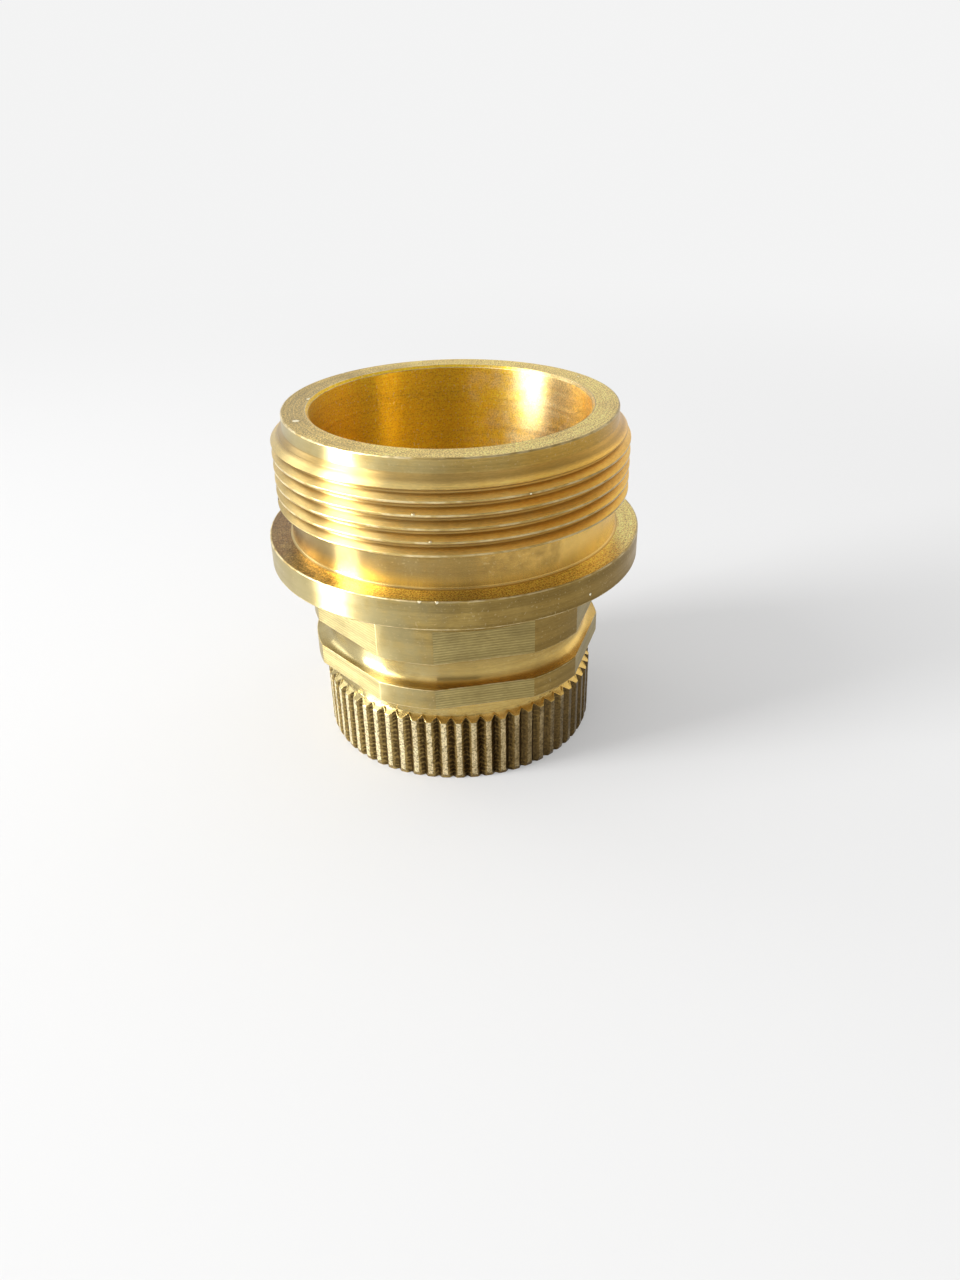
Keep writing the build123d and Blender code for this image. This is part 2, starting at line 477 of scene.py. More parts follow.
def thread_profile(sizes):
    """One pitch of the thread as (rise, radius), from the middle of one groove to the next."""
    pitch = sizes.pitch
    # The sharp vee loses a sixth of its height at the crest and at the root
    depth = pitch / 2 / math.tan(FLANK_ANGLE) * 2 / 3
    root = sizes.major_radius - depth
    half_flat = pitch / 12
    half_way = (root + sizes.major_radius) / 2
    corners = [
        (root, -half_flat, 0),
        (root, half_flat, 0.14 * MM),
        (sizes.major_radius, pitch / 2 - half_flat, 0.12 * MM),
        (sizes.major_radius, pitch / 2 + half_flat, 0.12 * MM),
        (root, pitch - half_flat, 0.14 * MM),
        (root, pitch + half_flat, 0),
    ]
    arcs = rounded(corners, steps=2)[1:-1]
    profile = [(0.0, root)] + [(z, r) for r, z, _ in arcs]
    middle = [(pitch * 0.25, half_way), (pitch * 0.75, half_way)]
    profile = sorted(profile + middle + [(pitch / 2, sizes.major_radius)])
    return np.array(profile)


def build_thread(skin, sizes, count):
    """The thread with its lead cone, in rows that climb the helix. Returns its end rings and their angles."""
    s, pitch = sizes, sizes.pitch
    profile = thread_profile(s)
    per_turn = len(profile)
    angles = even_angles(count, s.thread_start)
    rise = pitch * np.arange(count + 1) / count
    turns = int(math.ceil((s.pilot_base - s.thread_base) / pitch))
    rows = [(k * pitch + z, r) for k in range(-1, turns) for z, r in profile]
    rows.append((turns * pitch, profile[0][1]))
    rises = np.array([z for z, _ in rows])
    radii = np.array([r for _, r in rows])
    lead_slope = (s.major_radius - s.pilot_radius) / (s.pilot_base - s.thread_top)

    def lead(heights):
        return np.minimum(s.major_radius, s.major_radius - (heights - s.thread_top) * lead_slope)

    closed = np.append(profile[:, 0], pitch)
    closed_radii = np.append(profile[:, 1], profile[0][1])
    lower_radii = np.interp((-rise[:-1]) % pitch, closed, closed_radii)
    lower = skin.add(angles, lower_radii, s.thread_base)
    upper = skin.add(angles, s.pilot_radius, s.pilot_base)
    near = 0.03 * MM
    numbers = np.zeros((count, len(rows)), dtype=np.int64)
    on_crest = np.zeros((count, len(rows)), dtype=bool)
    for n in range(count):
        heights = s.thread_base + rises + rise[n]
        cone = lead(heights)
        over = radii - cone
        heights, column = heights.copy(), np.minimum(radii, cone)
        for j in range(len(rows) - 1):
            if over[j] * over[j + 1] < 0:
                t = over[j] / (over[j] - over[j + 1])
                crossing = s.thread_base + rise[n] + rises[j] + t * (rises[j + 1] - rises[j])
                pick = j if t < 0.5 else j + 1
                heights[pick] = crossing
                column[pick] = radii[j] + t * (radii[j + 1] - radii[j])
        below = heights <= s.thread_base + near
        above = heights >= s.pilot_base - near
        inside = ~(below | above)
        ring = skin.add(np.full(inside.sum(), angles[n]), column[inside], heights[inside])
        numbers[n, below] = lower[n]
        numbers[n, above] = upper[n]
        numbers[n, inside] = ring
        on_crest[n] = inside & (column > s.major_radius - 0.05 * MM)
    for n in range(count):
        for j in range(len(rows) - 1):
            if n + 1 < count:
                right, right_up = numbers[n + 1, j], numbers[n + 1, j + 1]
            else:
                right = numbers[0, min(j + per_turn, len(rows) - 1)]
                right_up = numbers[0, min(j + 1 + per_turn, len(rows) - 1)]
            finish = EDGED if on_crest[n, j] and on_crest[n, j + 1] else THREADED
            skin.face([numbers[n, j], right, right_up, numbers[n, j + 1]], finish)
    return lower, upper, angles


def build_knurl(skin, sizes, rows=36):
    """The knurled tail and its cone. Returns its lower and upper rings and their angles."""
    s = sizes
    tooth = FULL_TURN / s.knurl_count
    half_pitch = math.pi * s.knurl_radius / s.knurl_count
    half_mouth = half_pitch - s.knurl_land / 2
    # Across one groove: distance from its middle, and depth
    across = np.array([0.0, 0.30, 0.55, 0.80, 0.93, 1.0]) * half_mouth
    depth = np.minimum(s.knurl_depth * 1.15, half_mouth - across)
    depth[-1] = 0.02 * MM
    local = [(-g, d) for g, d in zip(across[::-1], depth[::-1])]
    local += list(zip(across[1:], depth[1:]))
    per_tooth = len(local) + 1
    angles, base = [], []
    for t in range(s.knurl_count):
        middle = s.knurl_start + t * tooth
        for g, d in local:
            angles.append(middle + math.atan2(g, s.knurl_radius - d))
            base.append(min(s.knurl_radius, math.hypot(g, s.knurl_radius - d)))
        angles.append(middle + tooth / 2)
        base.append(s.knurl_radius)
    angles, base = np.array(angles), np.array(base)
    order = np.argsort(angles % FULL_TURN)
    angles, base = angles[order] % FULL_TURN, base[order]
    slot = np.tile(np.arange(per_tooth), s.knurl_count)[order]
    # Where each line of the knurl leaves the cone above and the lead below
    cone_slope = (s.knurl_radius - s.groove_radius) / (s.tail_shoulder - s.knurl_top)
    top = s.knurl_top + (s.knurl_radius - base) * (1 / cone_slope + s.arch_rise)
    lead = np.clip((base - (s.knurl_radius - s.lead_depth)) / s.lead_depth, 0.12, 1) * s.lead_height
    random = np.random.RandomState(11)
    chips = random.rand(rows + 1, len(angles))
    chips[1:-1] = 0.5 * chips[1:-1] + 0.25 * (chips[:-2] + chips[2:])
    waves = np.sin(np.arange(rows + 1)[:, None] * 1.7 + random.rand(len(angles))[None, :] * 6)
    on_edge = (slot == 0) | (slot == len(local) - 1)
    below_edge = (slot == 1) | (slot == len(local) - 2)
    in_groove = (slot > 1) & (slot < len(local) - 2)
    on_land = slot == per_tooth - 1
    outward = np.where(slot == 0, -1.0, np.where(slot == len(local) - 1, 1.0, 0.0))
    bottom = np.minimum(s.knurl_radius - s.lead_depth, base - 0.03 * MM)
    lower = last = skin.add(angles, bottom, 0.0)
    for row in range(rows + 1):
        t = row / rows
        heights = lead + (top - lead) * t
        fade = math.sin(math.pi * min(max(t, 0.02), 0.98)) ** 0.3
        rough = (chips[row] - 0.5) * 2 + 0.3 * waves[row]
        radii = base - fade * (
            (on_edge * EDGE_WEAR + on_land * LAND_WEAR) * np.abs(rough)
            + (below_edge * SIDE_WEAR + in_groove * GROOVE_WEAR) * rough
        )
        turned = angles + fade * outward * EDGE_WEAR * rough / s.knurl_radius
        ring = skin.add(turned, np.minimum(radii, s.knurl_radius), heights)
        skin.bridge(last, ring, KNURLED)
        last = ring
    for t in (0.1, 0.4, 0.7, 1.0):
        heights = top + (s.tail_shoulder + 0.25 * MM - top) * t
        cone = np.maximum(s.knurl_radius - (heights - s.knurl_top) * cone_slope, s.groove_radius)
        ring = skin.add(angles, cone, heights)
        skin.bridge(last, ring, TURNED)
        last = ring
    return lower, last, angles


def build_turning(sizes):
    """The whole insert as one closed skin."""
    s = sizes
    skin = Skin()
    body_angles = flat_angles(s, LINES_ROUND)
    knurl_low, knurl_high, knurl_angles = build_knurl(skin, s)
    body_low, body_high = build_body(skin, s, body_angles)
    thread_low, thread_high, thread_angles = build_thread(skin, s, LINES_ROUND)
    skin.lace(knurl_high, knurl_angles, body_low, body_angles, TURNED)
    skin.lace(body_high, body_angles, thread_low, thread_angles, TURNED)

    top_outline = rounded([
        (s.pilot_radius, s.pilot_base, 0),
        (s.pilot_radius, s.end_face, 1.8 * s.edge_round),
        (s.mouth_radius + s.mouth_edge, s.end_face, s.edge_round),
        (s.mouth_radius, s.end_face - s.mouth_edge, s.edge_round),
        (s.mouth_radius, s.bore_step, s.edge_round),
        (s.tail_bore_radius, s.bore_step, s.edge_round),
        (s.tail_bore_radius, 0, 0),
    ])
    last = thread_high
    facings = outline_normals([row[:2] for row in top_outline])
    for (radius, height, edge), facing in zip(top_outline[1:], facings[1:]):
        if edge:
            finish = EDGED
        elif radius > s.pilot_radius - 0.1 * MM and height < s.end_face - 0.1 * MM:
            finish = TURNED
        elif radius > s.mouth_radius + 0.1 * MM:
            finish = FACED
        else:
            finish = BORED
        ring = skin.add(thread_angles, radius, height, around(thread_angles, facing))
        skin.bridge(last, ring, finish)
        last = ring
    skin.lace(last, thread_angles, knurl_low, knurl_angles, FACED)
    return skin


# ---------------------------------------------------------------- node helpers


class Nodes:
    """Adds and joins the nodes of a material, a group or the world."""

    def __init__(self, tree):
        self.tree = tree

    def feed(self, socket, value):
        """Joins another socket to this one, or sets its own value."""
        if isinstance(value, bpy.types.NodeSocket):
            self.tree.links.new(value, socket)
        else:
            socket.default_value = value

    def fill(self, node, inputs):
        """Feeds several inputs of a node."""
        for name, value in inputs.items():
            self.feed(node.inputs[name], value)

    def add(self, kind, inputs=None, **settings):
        node = self.tree.nodes.new(kind)
        for name, value in settings.items():
            setattr(node, name, value)
        self.fill(node, inputs or {})
        return node

    def group(self, name, maker, inputs):
        """Adds the node group of that name, made on first use, and returns its outputs."""
        if name not in bpy.data.node_groups:
            maker(name)
        return self.add("ShaderNodeGroup", inputs, node_tree=bpy.data.node_groups[name]).outputs

    def math(self, operation, *values, clamp=False):
        node = self.add("ShaderNodeMath", operation=operation, use_clamp=clamp)
        for socket, value in zip(node.inputs, values):
            self.feed(socket, value)
        return node.outputs[0]

    def times(self, first, second):
        return self.math("MULTIPLY", first, second)

    def noise(self, vector, scale, detail=2.0, roughness=0.5):
        inputs = {"Vector": vector, "Scale": scale, "Detail": detail, "Roughness": roughness}
        return self.add("ShaderNodeTexNoise", inputs).outputs["Fac"]

    def spread(self, value, low, high, to_low=0.0, to_high=1.0):
        """Takes the value smoothly from one range to another."""
        inputs = {"Value": value, "From Min": low, "From Max": high, "To Min": to_low, "To Max": to_high}
        return self.add("ShaderNodeMapRange", inputs, interpolation_type="SMOOTHSTEP").outputs["Result"]

    def mix(self, factor, first, second, blend="MIX"):
        """Blends two colours."""
        inputs = {0: factor, 6: first, 7: second}
        return self.add("ShaderNodeMix", inputs, data_type="RGBA", blend_type=blend).outputs[2]

    def vector(self, operation, inputs):
        return self.add("ShaderNodeVectorMath", inputs, operation=operation).outputs


def new_group(name, inputs, outputs):
    """A shader node group with named sockets: inputs by their defaults, outputs all numbers."""
    tree = bpy.data.node_groups.new(name, "ShaderNodeTree")
    for socket, default in inputs.items():
        kind = "NodeSocketVector" if isinstance(default, tuple) else "NodeSocketFloat"
        tree.interface.new_socket(name=socket, in_out="INPUT", socket_type=kind).default_value = default
    for socket in outputs:
        tree.interface.new_socket(name=socket, in_out="OUTPUT", socket_type="NodeSocketFloat")
    nodes = Nodes(tree)
    return nodes, nodes.add("NodeGroupInput"), nodes.add("NodeGroupOutput")


def place_parts(nodes):
    """The object's own place, its x, y and z, and the distance from its axis."""
    place = nodes.add("ShaderNodeTexCoord").outputs["Object"]
    x, y, z = nodes.add("ShaderNodeSeparateXYZ", {"Vector": place}).outputs
    radius = nodes.math("SQRT", nodes.math("ADD", nodes.times(x, x), nodes.times(y, y)))
    return place, x, y, z, radius


def make_turning_marks(name):
    """Feed marks left by the lathe: fine rings along the axis, or round a face."""
    inputs = {"Spacing": 0.0002, "On Face": 0.0}
    nodes, given, out = new_group(name, inputs, ("Marks", "Bands", "Streaks", "Wear"))
    _, x, y, z, radius = place_parts(nodes)
    along = nodes.add("ShaderNodeMix", {"Factor": given.outputs["On Face"], "A": z, "B": radius}).outputs[0]
    steps = nodes.math("DIVIDE", along, given.outputs["Spacing"])

    def rings(output, around, across, detail, roughness):
        """Noise drawn out round the axis. 'around' and 'across' set how soon it changes each way."""
        parts = {"X": nodes.times(x, around), "Y": nodes.times(y, around), "Z": nodes.times(steps, across)}
        drawn = nodes.add("ShaderNodeCombineXYZ", parts).outputs[0]
        nodes.feed(out.inputs[output], nodes.noise(drawn, 1.0, detail, roughness))

    rings("Marks", 30.0, 1.0, 2.0, 0.6)
    rings("Bands", 4.0, 0.2, 1.0, 0.5)
    rings("Streaks", 900.0, 2.6, 2.0, 0.6)
    rings("Wear", 260.0, 0.12, 2.0, 0.6)


def make_grain(name):
    """Fine speckle of cut brass, rare flecks and broad dull patches."""
    nodes, given, out = new_group(name, {"Size": 0.0003}, ("Grain", "Flecks", "Patches"))
    place = nodes.add("ShaderNodeTexCoord").outputs["Object"]
    scale = nodes.math("DIVIDE", 1.0, given.outputs["Size"])
    grain = nodes.noise(place, scale, 3.0, 0.7)
    flecks = nodes.noise(place, nodes.times(scale, 0.7), 1.0, 0.5)
    patches = nodes.noise(place, nodes.times(scale, 0.05), 3.0, 0.55)
    nodes.feed(out.inputs["Grain"], grain)
    nodes.feed(out.inputs["Flecks"], nodes.spread(flecks, 0.64, 0.74))
    nodes.feed(out.inputs["Patches"], nodes.spread(patches, 0.4, 0.65))


def make_nick(name):
    """A small ragged dent: its core, painted bright as a glint, and the dark rim round it."""
    nodes, given, out = new_group(name, {"Place": (0.0, 0.0, 0.0), "Size": 0.0005}, ("Core", "Rim"))
    place = nodes.add("ShaderNodeTexCoord").outputs["Object"]
    away = nodes.vector("DISTANCE", {0: place, 1: given.outputs["Place"]})["Value"]
    ragged = nodes.math("MULTIPLY_ADD", nodes.noise(place, 3000.0, 1.0), 0.0004, away)
    reach = nodes.math("DIVIDE", nodes.math("SUBTRACT", ragged, 0.0002), given.outputs["Size"])
    nodes.feed(out.inputs["Core"], nodes.spread(reach, 0.75, 0.45))
    nodes.feed(out.inputs["Rim"], nodes.times(nodes.spread(reach, 0.55, 0.85), nodes.spread(reach, 1.4, 0.9)))


def make_side_mask(name):
    """A mottled mask that is heaviest towards one side of the axis, for painted light and shade on that side.
    """
    nodes, given, out = new_group(name, {"Direction": (1.0, 0.0, 0.0), "Spread": 0.5}, ("Film",))
    place, x, y = place_parts(nodes)[:3]
    level = nodes.add("ShaderNodeCombineXYZ", {"X": x, "Y": y, "Z": 0.0}).outputs[0]
    outward = nodes.vector("NORMALIZE", {0: level})[0]
    toward = nodes.vector("DOT_PRODUCT", {0: outward, 1: given.outputs["Direction"]})["Value"]
    mottle = nodes.times(nodes.math("SUBTRACT", nodes.noise(place, 220.0, 3.0, 0.6), 0.5), 0.9)
    start = nodes.math("SUBTRACT", 1.0, given.outputs["Spread"])
    nodes.feed(out.inputs["Film"], nodes.spread(nodes.math("ADD", toward, mottle), start, 1.0))


# ---------------------------------------------------------------- finishes


class Finish:
    """A metal material under the tool's marks: colour, roughness and height are gathered, then joined."""

    def __init__(self, name, f, tint, roughness, anisotropy, on_face=0.0, grain_size=0.3):
        self.material = bpy.data.materials.new(name)
        self.material.use_nodes = True
        self.nodes = nodes = Nodes(self.material.node_tree)
        self.shader = self.material.node_tree.nodes["Principled BSDF"]
        tangent = nodes.add("ShaderNodeTangent", direction_type="RADIAL", axis="Z").outputs[0]
        # A quarter turn draws the gloss out across the marks
        gloss = {"Metallic": 1.0, "Anisotropic": anisotropy, "Anisotropic Rotation": 0.25, "Tangent": tangent}
        nodes.fill(self.shader, gloss)
        spacing = {"Spacing": f.mark_spacing, "On Face": on_face}
        self.marks = nodes.group("Turning Marks", make_turning_marks, spacing)
        self.grain = nodes.group("Brass Grain", make_grain, {"Size": grain_size * MM})
        self.place, _, _, self.height_above, self.radius = place_parts(nodes)
        self.f = f
        self.roughness = roughness
        self.colour = (*tint, 1)
        self.dull = tuple(0.45 * a + 0.55 * b for a, b in zip(tint, f.oxide_and_shade_colour)) + (1,)
        self.relief = 0.0
        self.polished = None

    def up(self):
        """How far the surface faces up: 1 on a flat top, 0 on a wall, -1 underneath."""
        facing = self.nodes.add("ShaderNodeTexCoord").outputs["Normal"]
        return self.nodes.add("ShaderNodeSeparateXYZ", {"Vector": facing}).outputs["Z"]

    def tone(self, value, strength, low=0.38, high=0.62):
        """Lightens and darkens the colour with a value that changes over the surface."""
        level = self.nodes.spread(value, low, high, 1 - strength, 1 + strength)
        levels = {"Red": level, "Green": level, "Blue": level}
        grey = self.nodes.add("ShaderNodeCombineColor", levels).outputs[0]
        self.colour = self.nodes.mix(1.0, self.colour, grey, blend="MULTIPLY")

    def stain(self, mask, colour, strength=1.0):
        """Lays another colour where the mask is."""
        mask = self.nodes.math("MULTIPLY", mask, strength, clamp=True)
        self.colour = self.nodes.mix(mask, self.colour, (*colour[:3], 1))

    def film(self, turn, spread, strength):
        """A mottled mask for painted light and shade, heaviest towards one side. The strength may be a mask.
        """
        inputs = {"Direction": (math.cos(turn), math.sin(turn), 0.0), "Spread": spread}
        return self.nodes.times(self.nodes.group("Tarnish", make_side_mask, inputs)["Film"], strength)

    def dye(self, turn, spread, strength, colour):
        """Lets painted shade on one side take its share of the colour away."""
        mask = self.film(turn, spread, strength)
        self.colour = self.nodes.mix(mask, self.colour, (*colour, 1), blend="MULTIPLY")

    def side_shade(self, strength):
        """Lays painted shade on one side over the colour."""
        self.dye(self.f.shaded_side, self.f.shade_spread, strength, self.f.side_shade_colour)

    def amber_shade(self, strength):
        """Deepens the brass to amber as painted shade on one side."""
        self.dye(self.f.amber_shade_side, 0.8, strength, self.f.amber_shade_colour)

    def pale(self, strength):
        """Lays painted light over the colour: the paler brass of the other side, where it is lit."""
        self.stain(self.film(self.f.pale_side, 0.5, strength), self.f.lit_side_colour)

    def nicks(self, nicks):
        """Small dents and burrs at given places (turn in degrees, radius, height and size in mm), their cores
        painted bright as glints.
        """
        for turn, radius, height, size in nicks:
            turn = math.radians(turn)
            place = Vector((radius * math.cos(turn), radius * math.sin(turn), height)) * MM
            nick = self.nodes.group("Nick", make_nick, {"Place": place, "Size": size * MM})
            # The bright core is painted as a glint
            self.stain(nick["Core"], self.f.nick_glint_colour)
            self.stain(nick["Rim"], self.f.oxide_and_shade_colour, 0.2)
            self.raise_by(nick["Core"], 12.0)

    def raise_by(self, value, amount):
        """Adds a value to the height of the surface's marks."""
        self.relief = self.nodes.math("MULTIPLY_ADD", value, amount, self.relief)

    def polish(self, mask, roughness):
        """Gives the places under the mask another roughness."""
        self.polished = (mask, roughness)

    def close(self):
        """Joins what was gathered to the shader."""
        nodes = self.nodes
        rough = nodes.spread(self.marks["Bands"], 0.3, 0.7, self.roughness * 0.88, self.roughness * 1.15)
        if self.polished:
            mask, smooth = self.polished
            rough = nodes.add("ShaderNodeMix", {"Factor": mask, "A": rough, "B": smooth}).outputs[0]
        bump = {"Height": self.relief, "Distance": self.f.mark_depth, "Strength": 1.0}
        normal = nodes.add("ShaderNodeBump", bump).outputs["Normal"]
        nodes.fill(self.shader, {"Base Color": self.colour, "Roughness": rough, "Normal": normal})
        return self.material


def turned_brass(f, name, tint, roughness, anisotropy, marks=0.4, tone=0.08, dull=0.3):
    """Brass left by the lathe tool: fine rings, soft bands and a few dull streaks."""
    finish = Finish(name, f, tint, roughness, anisotropy)
    finish.stain(finish.nodes.spread(finish.marks["Bands"], 0.46, 0.66), finish.dull, dull)
    finish.tone(finish.marks["Streaks"], tone)
    finish.tone(finish.marks["Marks"], tone * 0.8)
    finish.raise_by(finish.marks["Marks"], marks)
    finish.raise_by(finish.marks["Streaks"], marks * 0.5)
    return finish


def outer_brass(f, s):
    """The turned outside: rings, neck, relief and rims."""
    finish = turned_brass(f, "Turned brass", f.turned_colour, 0.34, 1.0)
    nodes, radius, height = finish.nodes, finish.radius, finish.height_above
    # Painted light on the lit side
    finish.pale(0.8)
    # Painted amber shade lies on one side of the relief and under the flange; painted shade lies on one side
    # of the rims and rings, not down in the grooves or beside the thread
    rims = nodes.spread(radius, s.major_radius, s.flange_radius - MM)
    outside = nodes.spread(radius, s.ring_radius + MM, s.relief_radius - MM)
    finish.amber_shade(nodes.times(outside, nodes.math("SUBTRACT", 1.0, rims)))
    rings = nodes.times(
        nodes.spread(radius, s.groove_radius + 0.5 * MM, s.ring_radius - MM),
        nodes.spread(radius, s.relief_radius - MM, s.ring_radius + 0.3 * MM),
    )
    finish.side_shade(nodes.times(nodes.math("MAXIMUM", rims, rings), 0.8))
    # Painted glow of reflected light in the upward-facing inner corners, heaviest on the shaded side; painted
    # shade below the upper ring
    inner = nodes.spread(radius, s.ring_radius + MM, s.ring_radius)
    inner = nodes.times(inner, nodes.spread(finish.up(), 0.1, 0.7))
    finish.stain(finish.film(f.shaded_side, 1.0, inner), f.painted_glow_colour, 0.95)
    below = nodes.times(
        nodes.spread(height, s.upper_ring_base - 3.2 * MM, s.upper_ring_base - 0.8 * MM),
        nodes.spread(radius, s.groove_radius + MM, s.groove_radius + 0.3 * MM),
    )
    finish.stain(below, f.painted_shade_colour, 0.6)
    # The relief is darkened with a painted dark reflection, with painted amber glow on one side and beside
    # the flange
    relief = nodes.times(
        nodes.spread(height, s.thread_base + 0.4 * MM, s.thread_base - 0.4 * MM),
        nodes.spread(height, s.flange_top - 0.1 * MM, s.flange_top + 0.3 * MM),
    )
    skin = nodes.spread(radius, s.relief_radius - 0.5 * MM, s.relief_radius - 0.15 * MM)
    relief = nodes.times(skin, relief)
    low = nodes.spread(height, s.flange_top + 3.2 * MM, s.flange_top + 0.8 * MM)
    finish.stain(relief, f.under_shade_colour, 0.5)
    finish.stain(finish.film(f.relief_glow_side, 0.45, relief), f.painted_glow_colour, 0.8)
    finish.stain(nodes.times(relief, low), f.painted_glow_colour, 0.7)
    grooves = nodes.spread(radius, s.ring_radius - 0.1 * MM, s.ring_radius - 0.8 * MM)
    finish.polish(nodes.math("MAXIMUM", grooves, relief), 0.25)
    finish.stain(finish.grain["Patches"], finish.dull, 0.2)
    finish.stain(finish.grain["Flecks"], f.edge_highlight_colour, 0.25)
    finish.nicks(RIM_NICKS)
    return finish.close()


def faced_brass(f, s):
    """The matt, granular faces square to the axis."""
    finish = Finish("Faced brass", f, f.faced_colour, 0.42, 0.3, on_face=1.0, grain_size=0.28)
    finish.stain(finish.grain["Patches"], finish.dull, 0.3)
    # Painted glow makes the flange's face brighter than the end face inside its radius; painted shade darkens
    # one side of both faces, the flange's the more
    flange = finish.nodes.spread(finish.radius, s.pilot_radius, s.relief_radius + 0.2 * MM)
    finish.stain(flange, f.painted_glow_colour, 0.5)
    finish.stain(finish.film(f.face_shade_side, 0.75, 0.6), f.painted_shade_colour)
    finish.stain(finish.film(f.face_shade_side, 0.6, flange), f.under_shade_colour)
    finish.polish(flange, 0.28)
    finish.tone(finish.grain["Grain"], f.grain, 0.36, 0.64)
    finish.tone(finish.marks["Marks"], 0.12)
    finish.stain(finish.grain["Flecks"], f.edge_highlight_colour, 0.4)
    finish.raise_by(finish.grain["Grain"], 4.0)
    finish.nicks(FACE_NICKS)
    finish.raise_by(finish.marks["Marks"], 0.8)
    return finish.close()


def bored_brass(f, s):
    """The bores: deep amber that is partly painted bounce light, painted light on one side, and painted
    glints as a fine sparkle.
    """
    finish = turned_brass(f, "Bored brass", f.bored_colour, 0.43, 0.93, 0.35, 0.07, 0.1)
    # Painted light on the lit side of the bore
    finish.stain(finish.film(f.bore_lit_side, 0.42, 0.8), f.lit_bore_colour)
    finish.tone(finish.grain["Grain"], 0.24, 0.36, 0.64)
    # Painted glints as a fine sparkle
    finish.stain(finish.grain["Flecks"], f.nick_glint_colour, 0.4)
    finish.raise_by(finish.grain["Grain"], 0.8)
    return finish.close()


def threaded_brass(f, s):
    """The thread's flanks, with painted shade underneath, darker in the root, painted light on one side and
    painted amber shade on another.
    """
    finish = turned_brass(f, "Threaded brass", f.threaded_colour, 0.35, 0.97)
    nodes = finish.nodes
    # Painted light on one side and painted amber shade on another
    finish.pale(0.5)
    finish.amber_shade(1.0)
    root = nodes.spread(finish.radius, s.major_radius - 0.7 * MM, s.major_radius - 1.4 * MM)
    # Painted shade on the flanks that face down; the root is darkened too
    finish.stain(nodes.spread(finish.up(), -0.05, -0.7), f.under_shade_colour, 0.55)
    finish.stain(root, f.under_shade_colour, 0.5)
    finish.nicks(THREAD_NICKS)
    return finish.close()


def milled_brass(f, s):
    """The flats, with the straight lines of the cutter's feed."""
    finish = Finish("Milled brass", f, f.milled_colour, 0.46, 0.7, grain_size=0.35)
    nodes = finish.nodes
    # Painted light on the lit side
    finish.pale(0.5)
    waver = nodes.times(nodes.noise(finish.place, 120.0, 2.0, 0.6), 2.5)
    lines = nodes.math("MULTIPLY_ADD", finish.height_above, FULL_TURN / f.feed_spacing, waver)
    lines = nodes.math("SINE", lines)
    finish.tone(lines, 0.16, -0.8, 0.8)
    finish.tone(finish.marks["Streaks"], 0.10)
    finish.stain(finish.grain["Patches"], finish.dull, 0.3)
    # Painted shade on one side
    finish.side_shade(0.4)
    finish.raise_by(lines, 2.0)
    finish.raise_by(finish.grain["Grain"], 1.2)
    return finish.close()


def knurled_brass(f, s):
    """The knurl: pale worn tooth tops over torn grooves darkened with painted shade, and painted shade on one
    side.
    """
    finish = Finish("Knurled brass", f, f.knurled_colour, 0.34, 0.3, grain_size=0.4)
    nodes, grain = finish.nodes, finish.grain["Grain"]
    ragged = nodes.times(nodes.math("SUBTRACT", grain, 0.5), 0.2 * MM)
    torn = nodes.math("ADD", finish.radius, ragged)
    flank = nodes.spread(torn, s.knurl_radius - 0.01 * MM, s.knurl_radius - 0.08 * MM)
    deep = nodes.spread(torn, s.knurl_radius - 0.2 * MM, s.knurl_radius - 0.6 * MM)
    # Painted shade down the grooves' walls and in their bottoms
    finish.stain(flank, f.painted_shade_colour, 0.95)
    finish.stain(deep, f.oxide_and_shade_colour, 0.95)
    # Rows of torn chatter marks run across the grooves
    waver = nodes.times(nodes.noise(finish.place, 350.0, 2.0, 0.6), 16.0)
    beat = nodes.math("MULTIPLY_ADD", finish.height_above, FULL_TURN / f.chatter_spacing, waver)
    chatter = nodes.times(flank, nodes.spread(nodes.math("SINE", beat), 0.15, 0.8))
    finish.stain(chatter, f.turned_colour, 0.4)
    # Painted shade on one side, heavier still towards the knurl's shaded side
    finish.side_shade(0.9)
    finish.stain(finish.film(f.knurl_shade_side, 0.6, 0.85), f.oxide_and_shade_colour)
    finish.tone(grain, 0.35, 0.35, 0.65)
    finish.raise_by(grain, 5.0)
    finish.raise_by(chatter, 3.0)
    return finish.close()


def edged_brass(f, s):
    """Crests and edges, painted bright as a highlight and dulled here and there, with painted shade on one
    side.
    """
    finish = Finish("Edged brass", f, f.edge_highlight_colour, 0.32, 0.3)
    finish.stain(finish.nodes.spread(finish.marks["Wear"], 0.42, 0.6), f.turned_colour, 0.85)
    # Painted shade on one side
    finish.side_shade(0.7)
    finish.tone(finish.marks["Streaks"], 0.15)
    finish.raise_by(finish.grain["Grain"], 0.8)
    finish.nicks(THREAD_NICKS + RIM_NICKS)
    return finish.close()


def make_finishes(f, s):
    """The machined finishes, in the order of the piece's slots."""
    makers = (faced_brass, bored_brass, threaded_brass, outer_brass, milled_brass, knurled_brass, edged_brass)
    return [maker(f, s) for maker in makers]


# ---------------------------------------------------------------- studio


def add_lamp(name, place, width, height, watts):
    """A soft rectangular lamp that faces the insert."""
    light = bpy.data.lights.new(name, "AREA")
    light.shape = "RECTANGLE"
    light.size, light.size_y = width, height
    light.energy = watts
    lamp = bpy.data.objects.new(name, light)
    lamp.location = place
    lamp.rotation_euler = (MIDDLE - Vector(place)).to_track_quat("-Z", "Y").to_euler()
    lamp.visible_camera = False
    bpy.context.scene.collection.objects.link(lamp)


